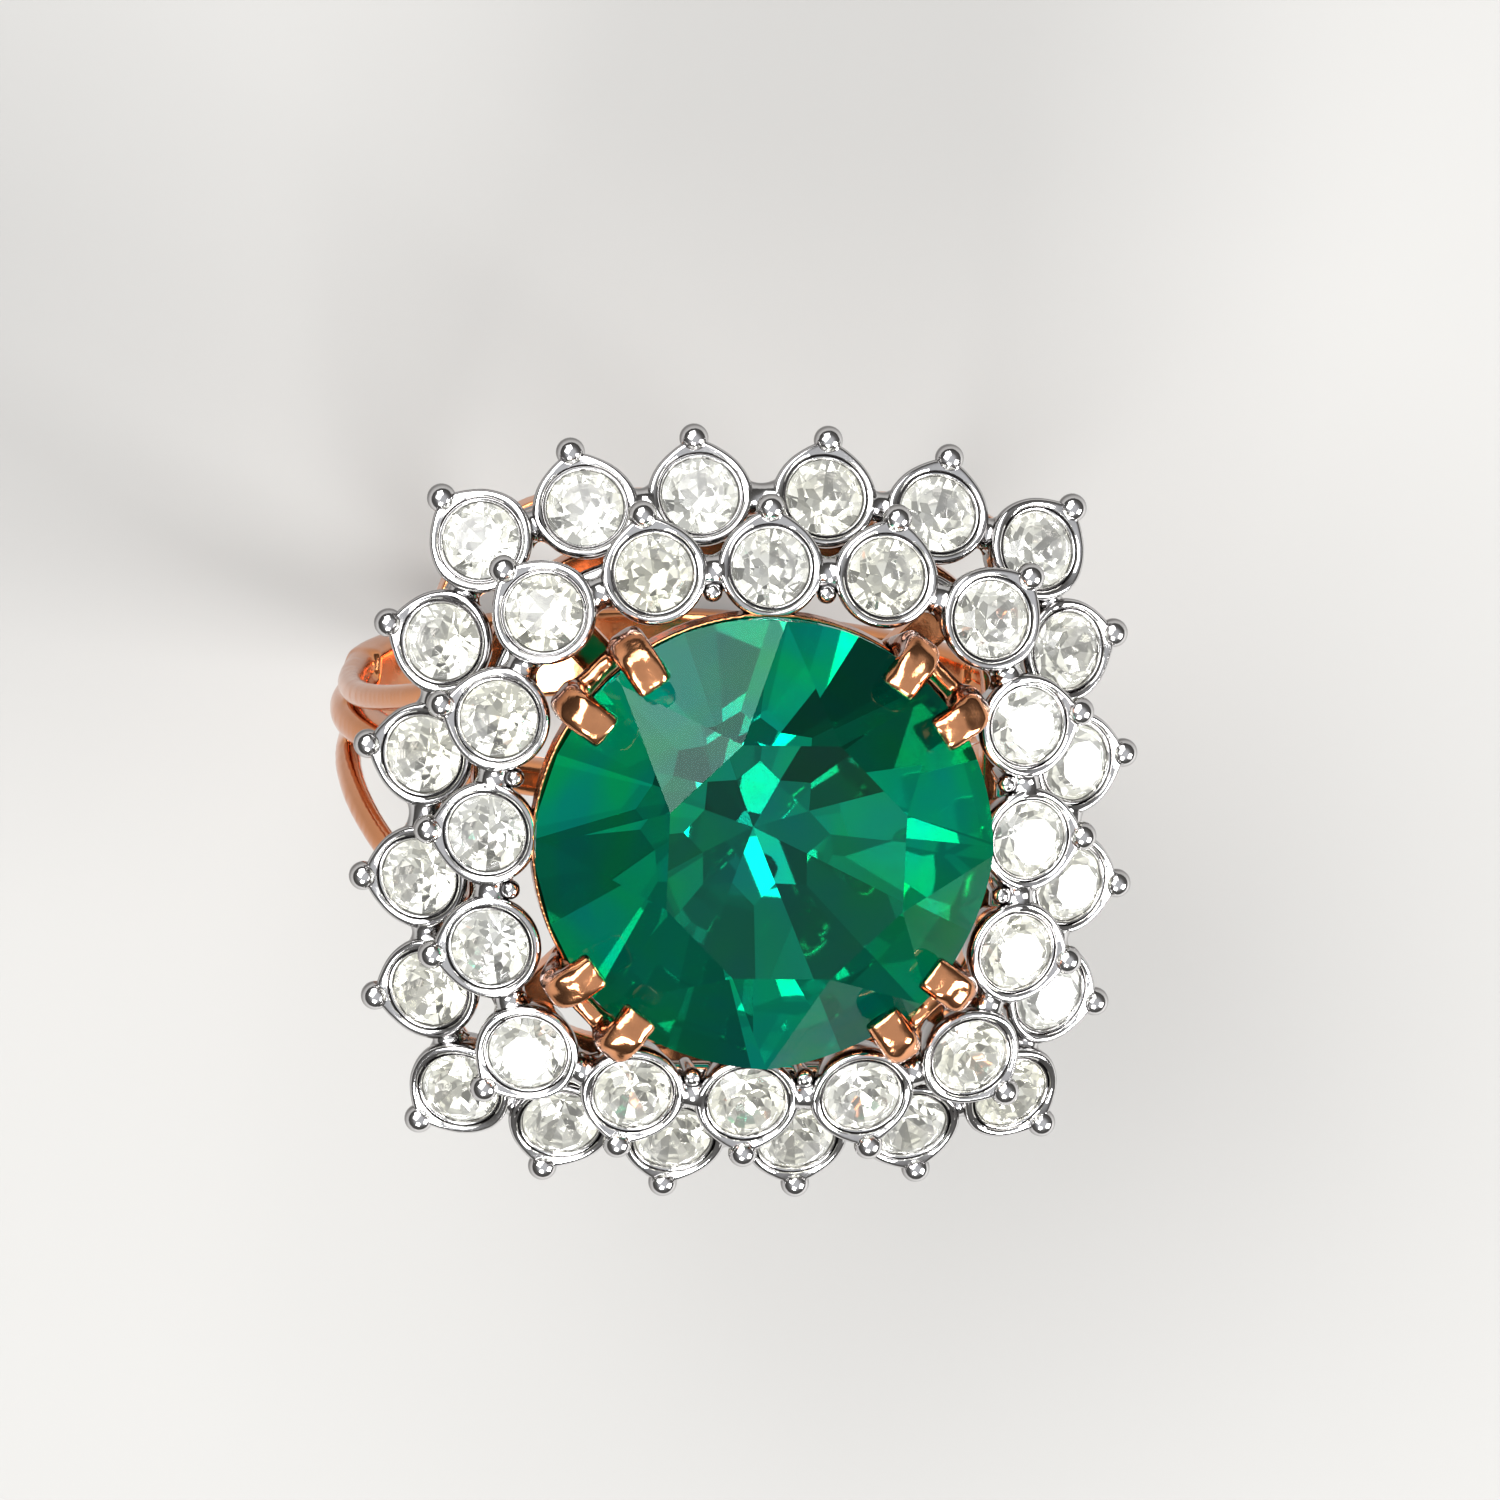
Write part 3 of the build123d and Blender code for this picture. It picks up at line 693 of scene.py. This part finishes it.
def cast_tier(name, node, seats, beads, rails, legs):
    """One tier of the halo: cups, bridges and beads set by the tree, with its rail and legs."""
    sizes = bpy.context.scene.ring.sizes
    patterns = {"Cup": cup_piece(sizes), "Bridge": bridge_piece(sizes), "Bead": bead_piece(sizes)}
    points = seat_points(name + "_seats", seats, beads, sizes)
    tree = bpy.data.node_groups.get("Halo Casting") or casting_tree()
    modifier = points.modifiers.new("Casting", "NODES")
    modifier.node_group = tree
    set_inputs(modifier, {**patterns, "Metal": white_metal()})
    piece = plain_copy(name, points)
    bm = bmesh.new()
    for half, corner, low, high in rails:
        add_square_rail(bm, half, corner, sizes.rail_width, low, high)
    for x, y, low, high in legs:
        outline = rounded_ends(sizes.leg_radius, low, high, 0.05 * MM)
        add_lathe(bm, outline, 24, Matrix.Translation((x, y, 0)))
    rail = bmesh_object(name + "_rail", bm)
    joined = bmesh.new()
    joined.from_mesh(piece.data)
    joined.from_mesh(rail.data)
    joined.to_mesh(piece.data)
    joined.free()
    for spare in (points, rail, *patterns.values()):
        bpy.data.objects.remove(spare)
    finish_piece(piece, node, white_metal())
    return piece


def quarter_places(x, y):
    """A place beside the middle of a side and its mirror image, on all four sides."""
    places = []
    for quarter in range(4):
        turn = Matrix.Rotation(quarter * pi / 2, 2)
        for side in (-1, 1):
            places.append(turn @ Vector((side * x, y)))
    return places


class RING_OT_outer_tier(bpy.types.Operator):
    """Make the lower tier of the halo: cups with beads on a rail that rests on the gallery."""

    bl_idname = "ring.outer_tier"
    bl_label = "Outer Tier"

    def execute(self, context):
        sizes = context.scene.ring.sizes
        low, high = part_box("gallery_frame")
        seats = [seat_of(node, sizes.stone_depth) for node in tier_nodes("outer")]
        rail = (high.x - 0.4 * MM, 3.7 * MM, high.z, high.z + sizes.rail_height)
        cast_tier("outer_halo_casting", "outer_halo_frame", seats, [], [rail], [])
        return {"FINISHED"}


class RING_OT_inner_tier(bpy.types.Operator):
    """Make the upper tier of the halo: cups with beads, inner beads on posts, a rail and eight legs."""

    bl_idname = "ring.inner_tier"
    bl_label = "Inner Tier"

    def execute(self, context):
        sizes = context.scene.ring.sizes
        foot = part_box("inner_halo_frame")[0].z
        rail_half, rail_low = 6.8 * MM, 12.9 * MM
        seats = [seat_of(node, sizes.stone_depth) for node in tier_nodes("inner")]
        beads = [Vector((*place, seats[0][0].z)) for place in quarter_places(1.5 * MM, 6.5 * MM)]
        legs = [(*place, foot, rail_low + 0.2 * MM) for place in quarter_places(2.9 * MM, rail_half)]
        rail = (rail_half, 3.96 * MM, rail_low, rail_low + sizes.rail_height)
        cast_tier("inner_halo_casting", "inner_halo_frame", seats, beads, [rail], legs)
        return {"FINISHED"}


# ------------------------------------------------------------------ rose-gold pieces


class RING_OT_claws(bpy.types.Operator):
    """Make the four double claws, softened as polished castings."""

    bl_idname = "ring.claws"
    bl_label = "Claws"

    def execute(self, context):
        for node in CLAW_NODES:
            piece = cast_copy(node + "_cast", node, voxel=0.05 * MM, passes=40)
            finish_piece(piece, node, hammered_metal())
        return {"FINISHED"}


class RING_OT_basket(bpy.types.Operator):
    """Make the lower ring and the collar of the basket."""

    bl_idname = "ring.basket"
    bl_label = "Basket"

    def execute(self, context):
        for node in ("basket_lower_ring", "basket_collar"):
            piece = cast_copy(node + "_cast", node, voxel=0.05 * MM, passes=3)
            finish_piece(piece, node, rose_gold_metal())
        return {"FINISHED"}


class RING_OT_gallery(bpy.types.Operator):
    """Make the gallery frame under the halo."""

    bl_idname = "ring.gallery"
    bl_label = "Gallery"

    def execute(self, context):
        piece = cast_copy("gallery_frame_cast", "gallery_frame", voxel=0.07 * MM, passes=5)
        finish_piece(piece, "gallery_frame", rose_gold_metal())
        return {"FINISHED"}


class RING_OT_shank(bpy.types.Operator):
    """Make the shank with its split shoulders."""

    bl_idname = "ring.shank"
    bl_label = "Shank"

    def execute(self, context):
        piece = cast_copy("shank_cast", "shank", voxel=0.075 * MM, passes=48)
        finish_piece(piece, "shank", rose_gold_metal())
        return {"FINISHED"}


# ------------------------------------------------------------------ stones


def cut_ring(bm, count, first, reach, height, slope, up=1, shift=0.0):
    """Cut a ring of flat facets, each through the point at reach and height on its own azimuth."""
    for number in range(count):
        azimuth = first + number * tau / count
        normal = Vector((sin(slope) * cos(azimuth), sin(slope) * sin(azimuth), up * cos(slope)))
        through = Vector((reach * cos(azimuth) + shift, reach * sin(azimuth), height))
        everything = bm.verts[:] + bm.edges[:] + bm.faces[:]
        cut = bmesh.ops.bisect_plane(
            bm, geom=everything, dist=0.0005 * MM, plane_co=through, plane_no=normal, clear_outer=True
        )
        edges = [
            part for part in cut["geom_cut"] if isinstance(part, bmesh.types.BMEdge) and part.is_boundary
        ]
        if len(edges) > 2:
            bmesh.ops.contextual_create(bm, geom=edges)


def cut_stone(name, bm, inside):
    """The cut stone round an inside point, with flat facets; its back facets are marked for the foil, and
    each face gets a fixed painted shade.
    """
    for face in bm.faces:
        face.normal_update()
        if face.normal.dot(face.calc_center_median() - inside) < 0:
            face.normal_flip()
    backs = [face.normal.z < -0.2 for face in bm.faces]
    mesh = bpy.data.meshes.new(name)
    bm.to_mesh(mesh)
    bm.free()
    marks = mesh.attributes.new("backed", "BOOLEAN", "FACE")
    marks.data.foreach_set("value", backs)
    # Painted reflections: a fixed shade per face for the foil, spread by the golden ratio.
    painted_facet_shades = mesh.attributes.new("facet_painted_shade", "FLOAT", "FACE")
    painted_facet_shades.data.foreach_set("value", [0.618 * number % 1.0 for number in range(len(backs))])
    return link_mesh(name, mesh)


def small_stone(cuts):
    """A small stone round the origin: table, two rings of crown facets and two rings of back facets."""
    bm = bmesh.new()
    depth = 2 * cuts.small_radius
    shape = Matrix.Translation((0, 0, cuts.small_crown - depth / 2))
    bmesh.ops.create_cone(
        bm, cap_ends=True, segments=48, radius1=cuts.small_radius, radius2=cuts.small_radius, depth=depth,
        matrix=shape
    )
    eighth = tau / 8
    slope = atan(cuts.small_crown / (cuts.small_radius - cuts.small_table))
    cut_ring(bm, 8, 0.0, cuts.small_table, cuts.small_crown, slope)
    cut_ring(bm, 8, eighth / 2, cuts.small_radius * 0.97, 0.0, slope + radians(6))
    cut_ring(bm, 16, eighth / 4, cuts.small_radius, -cuts.small_girdle, radians(41), up=-1)
    cut_ring(bm, 8, eighth / 2, 0.0, -cuts.small_girdle - 0.80 * cuts.small_radius, radians(36), up=-1)
    return cut_stone("small_stone_pattern", bm, Vector((0, 0, -cuts.small_girdle / 2)))


def large_stone(cuts, girdle):
    """The centre stone with its girdle at that height: octagonal table, crown facets, deep faceted back."""
    bm = bmesh.new()
    depth = cuts.centre_crown + 2 * cuts.centre_depth
    shape = Matrix.Translation((0, 0, cuts.centre_crown - depth / 2))
    bmesh.ops.create_cone(
        bm, cap_ends=True, segments=96, radius1=cuts.centre_radius, radius2=cuts.centre_radius, depth=depth,
        matrix=shape
    )
    half = tau / 16
    corner = cuts.centre_table / cos(half)
    main_slope = atan(cuts.centre_crown / (cuts.centre_radius - cuts.centre_table))
    between_slope = atan(cuts.centre_crown / (cuts.centre_radius * cos(half) - corner))
    shift = cuts.table_offset
    cut_ring(bm, 8, 0.0, cuts.centre_table, cuts.centre_crown, main_slope, shift=shift)
    cut_ring(bm, 8, half, corner, cuts.centre_crown, between_slope, shift=shift)
    cut_ring(bm, 16, half / 2, cuts.centre_radius, -cuts.centre_girdle, radians(42.5), up=-1)
    cut_ring(bm, 8, half, 0.0, -cuts.centre_depth, radians(37.0), up=-1)
    cut_ring(bm, 16, half / 2, 0.0, 0.3 * MM - cuts.centre_depth, radians(37.6), up=-1)
    cut_ring(bm, 8, 0.0, 0.0, 0.6 * MM - cuts.centre_depth, radians(31.0), up=-1)
    bmesh.ops.translate(bm, verts=bm.verts, vec=(0, 0, girdle))
    return cut_stone("centre_stone_cut", bm, Vector((0, 0, girdle - cuts.centre_girdle / 2)))


def setting_tree():
    """Geometry nodes that set a stone on each seat, glass in front and foil behind, as one mesh."""
    tree = bpy.data.node_groups.new("Stone Setting", "GeometryNodeTree")
    tree.interface.new_socket("Seats", in_out="INPUT", socket_type="NodeSocketGeometry")
    tree.interface.new_socket("Stone", in_out="INPUT", socket_type="NodeSocketObject")
    size = tree.interface.new_socket("Stone Size", in_out="INPUT", socket_type="NodeSocketFloat")
    size.default_value = 1.0
    tree.interface.new_socket("Glass", in_out="INPUT", socket_type="NodeSocketMaterial")
    tree.interface.new_socket("Foil", in_out="INPUT", socket_type="NodeSocketMaterial")
    tree.interface.new_socket("Stones", in_out="OUTPUT", socket_type="NodeSocketGeometry")
    enter = tree.nodes.new("NodeGroupInput")
    leave = tree.nodes.new("NodeGroupOutput")
    link = tree.links.new
    turn = add_node(tree, "GeometryNodeInputNamedAttribute", {"Name": "turn"}, data_type="FLOAT_VECTOR")
    rotation = add_node(tree, "FunctionNodeEulerToRotation")
    link(turn.outputs[0], rotation.inputs[0])
    pattern = add_node(tree, "GeometryNodeObjectInfo")
    link(enter.outputs["Stone"], pattern.inputs["Object"])
    setting = add_node(tree, "GeometryNodeInstanceOnPoints")
    link(enter.outputs["Seats"], setting.inputs["Points"])
    link(pattern.outputs["Geometry"], setting.inputs["Instance"])
    link(rotation.outputs[0], setting.inputs["Rotation"])
    link(enter.outputs["Stone Size"], setting.inputs["Scale"])
    real = add_node(tree, "GeometryNodeRealizeInstances")
    link(setting.outputs[0], real.inputs[0])
    front = add_node(tree, "GeometryNodeSetMaterial")
    link(real.outputs[0], front.inputs["Geometry"])
    link(enter.outputs["Glass"], front.inputs["Material"])
    backed = add_node(tree, "GeometryNodeInputNamedAttribute", {"Name": "backed"}, data_type="BOOLEAN")
    back = add_node(tree, "GeometryNodeSetMaterial")
    link(front.outputs[0], back.inputs["Geometry"])
    link(backed.outputs[0], back.inputs["Selection"])
    link(enter.outputs["Foil"], back.inputs["Material"])
    link(back.outputs[0], leave.inputs[0])
    return tree


class RING_OT_centre_stone(bpy.types.Operator):
    """Cut the centre stone, green glass over green foil that glows with painted light."""

    bl_idname = "ring.centre_stone"
    bl_label = "Centre Stone"

    def execute(self, context):
        cuts = context.scene.ring.cuts
        finishes = context.scene.ring.finishes
        stone = large_stone(cuts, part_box("centre_stone")[0].z + cuts.centre_depth)
        deep_green = tuple(0.8 * part for part in finishes.green)
        glass = cut_glass(
            "Green Glass", finishes.green, deep_green, cloud=180.0, refraction=1.57, sheen=(0.30, 0.40, 0.37)
        )
        # The foil glows with painted light, and its back facets are darkened by painted reflections.
        backing = foil("Green Foil", finishes.green_foil, finishes.teal_foil, 0.10, 300.0, 0.03, 0.29)
        stone.data.materials.append(glass)
        stone.data.materials.append(backing)
        backs = [int(mark.value) for mark in stone.data.attributes["backed"].data]
        stone.data.polygons.foreach_set("material_index", backs)
        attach(stone, BODY)
        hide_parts("centre_stone")
        return {"FINISHED"}


class RING_OT_small_stones(bpy.types.Operator):
    """Set the small stones of both tiers, clear glass over silver foil that glows with painted light."""

    bl_idname = "ring.small_stones"
    bl_label = "Small Stones"

    def execute(self, context):
        settings = context.scene.ring
        finishes = settings.finishes
        pattern = small_stone(settings.cuts)
        pale = (0.95, 0.95, 0.92)
        glass = cut_glass(
            "Clear Glass", finishes.clear, pale, cloud=300.0, refraction=1.6, sheen=(1.0, 1.0, 1.0)
        )
        # The foil glows with painted light, and its back facets are darkened by painted reflections.
        backing = foil("Silver Foil", finishes.clear_foil, (0.96, 0.95, 0.85), 0.10, 700.0, 0.05, 0.65)
        tree = setting_tree()
        for tier in ("inner", "outer"):
            nodes = tier_nodes(tier)
            seats = [seat_of(node, settings.sizes.stone_depth) for node in nodes]
            marks = [(place, seat_turn(axis), 0, (1, 1, 1)) for place, axis in seats]
            points = marked_points(tier + "_seats", marks)
            modifier = points.modifiers.new("Setting", "NODES")
            modifier.node_group = tree
            set_inputs(modifier, {"Stone": pattern, "Glass": glass, "Foil": backing})
            piece = plain_copy(tier + "_stones", points)
            bpy.data.objects.remove(points)
            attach(piece, BODY)
            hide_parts(*nodes)
        bpy.data.objects.remove(pattern)
        return {"FINISHED"}


# ------------------------------------------------------------------ stage


def view_axes(studio):
    """The camera's right, up and backward directions."""
    turn = (
        Matrix.Rotation(studio.pitch, 3, "X")
        @ Matrix.Rotation(studio.yaw, 3, "Y")
        @ Matrix.Rotation(studio.roll, 3, "Z")
    )
    return turn[0].copy(), turn[1].copy(), turn[2].copy()


def make_camera(studio):
    """A long lens looking down on the head."""
    right, up, back = view_axes(studio)
    low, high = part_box("centre_stone")
    target = Vector((0, 0, high.z - 1.85 * MM))
    camera = bpy.data.cameras.new("camera")
    camera.sensor_width = 36.0
    camera.lens = camera.sensor_width * studio.distance / studio.field
    camera.clip_start = 0.01
    camera.clip_end = 10.0
    holder = bpy.data.objects.new("camera", camera)
    place = target - right * studio.aside + up * studio.below + back * studio.distance
    holder.matrix_world = Matrix((right, up, back)).transposed().to_4x4()
    holder.matrix_world.translation = place
    bpy.context.scene.collection.objects.link(holder)
    bpy.context.scene.camera = holder


def make_light(name, place, target, size, power):
    """A square soft light facing the target."""
    light = bpy.data.lights.new(name, "AREA")
    light.shape = "SQUARE"
    light.size = size
    light.energy = power
    holder = bpy.data.objects.new(name, light)
    holder.location = place
    holder.rotation_euler = (target - place).to_track_quat("-Z", "Y").to_euler()
    bpy.context.scene.collection.objects.link(holder)


def make_world():
    """A pale studio, brighter overhead and dim at the horizon."""
    world = bpy.data.worlds.new("Studio")
    world.use_nodes = True
    tree = world.node_tree
    background = tree.nodes["Background"]
    place = add_node(tree, "ShaderNodeTexCoord")
    split = add_node(tree, "ShaderNodeSeparateXYZ")
    ramp = add_node(tree, "ShaderNodeValToRGB")
    stops = ramp.color_ramp.elements
    stops[0].position = 0.0
    stops[0].color = (0.09, 0.086, 0.082, 1.0)
    stops[1].position = 0.9
    stops[1].color = (0.80, 0.81, 0.84, 1.0)
    middle = stops.new(0.55)
    middle.color = (0.17, 0.165, 0.16, 1.0)
    tree.links.new(place.outputs["Generated"], split.inputs[0])
    tree.links.new(split.outputs["Z"], ramp.inputs[0])
    tree.links.new(ramp.outputs[0], background.inputs[0])
    background.inputs[1].default_value = 0.62
    bpy.context.scene.world = world


def make_floor(studio):
    """A wide pale floor under the shank, with a faint mottling."""
    bm = bmesh.new()
    bmesh.ops.create_grid(bm, x_segments=8, y_segments=8, size=1.2)
    bmesh.ops.translate(bm, verts=bm.verts, vec=(0, 0, cad_box[0][2]))
    floor = bmesh_object("floor", bm)
    material = bpy.data.materials.new("Floor")
    material.use_nodes = True
    tree = material.node_tree
    shader = tree.nodes["Principled BSDF"]
    shader.inputs["Roughness"].default_value = 0.85
    place = add_node(tree, "ShaderNodeTexCoord")
    mottle = add_node(tree, "ShaderNodeTexNoise", {"Scale": 30.0, "Detail": 3.0})
    tree.links.new(place.outputs["Object"], mottle.inputs["Vector"])
    amount = map_range(tree, mottle.outputs["Fac"], 0.3, 0.7, 0.0, 1.0)
    main = studio.floor_colour
    mottled = mix_colours(tree, amount, main, tuple(0.97 * part for part in main))
    tree.links.new(mottled, shader.inputs["Base Color"])
    floor.data.materials.append(material)


class RING_OT_stage(bpy.types.Operator):
    """Set the floor, the lights, the sky and the camera."""

    bl_idname = "ring.stage"
    bl_label = "Stage"

    def execute(self, context):
        studio = context.scene.ring.studio
        make_floor(studio)
        make_world()
        head = Vector((0, 0, 14 * MM))
        make_light("key", Vector((-0.16, 0.10, 0.26)), head, 0.20, 0.85)
        make_light("fill", Vector((0.24, -0.10, 0.20)), head, 0.16, 1.4)
        make_light("rim", Vector((-0.11, 0.32, 0.29)), head, 0.30, 1.3)
        make_light("front", Vector((-0.05, -0.18, 0.24)), head, 0.12, 0.7)
        make_camera(studio)
        context.scene.view_settings.view_transform = "Standard"
        return {"FINISHED"}


# ------------------------------------------------------------------ add-on

OPERATORS = (
    RING_OT_outer_tier,
    RING_OT_inner_tier,
    RING_OT_claws,
    RING_OT_basket,
    RING_OT_gallery,
    RING_OT_shank,
    RING_OT_centre_stone,
    RING_OT_small_stones,
    RING_OT_stage,
)


class RING_PT_pieces(bpy.types.Panel):
    """Lists the pieces of the ring and its settings."""

    bl_label = "Cocktail Ring"
    bl_idname = "RING_PT_pieces"
    bl_space_type = "VIEW_3D"
    bl_region_type = "UI"
    bl_category = "Ring"

    def draw(self, context):
        settings = context.scene.ring
        for group in (settings.sizes, settings.cuts, settings.finishes, settings.studio):
            for name in group.bl_rna.properties.keys():
                if name not in ("name", "rna_type"):
                    self.layout.prop(group, name)
        for operator in OPERATORS:
            self.layout.operator(operator.bl_idname)


SETTINGS = (RingCastingSizes, RingStoneCuts, RingFinishes, RingStudio, RingSettings)
CLASSES = (*SETTINGS, *OPERATORS, RING_PT_pieces)


def register():
    for item in CLASSES:
        bpy.utils.register_class(item)
    bpy.types.Scene.ring = bpy.props.PointerProperty(
        type=RingSettings, name="Ring", description="Ring settings"
    )


def unregister():
    del bpy.types.Scene.ring
    for item in reversed(CLASSES):
        bpy.utils.unregister_class(item)


def main():
    register()
    bpy.ops.ring.outer_tier()
    bpy.ops.ring.inner_tier()
    bpy.ops.ring.claws()
    bpy.ops.ring.basket()
    bpy.ops.ring.gallery()
    bpy.ops.ring.shank()
    bpy.ops.ring.centre_stone()
    bpy.ops.ring.small_stones()
    bpy.ops.ring.stage()
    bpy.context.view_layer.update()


if __name__ == "__main__":
    main()
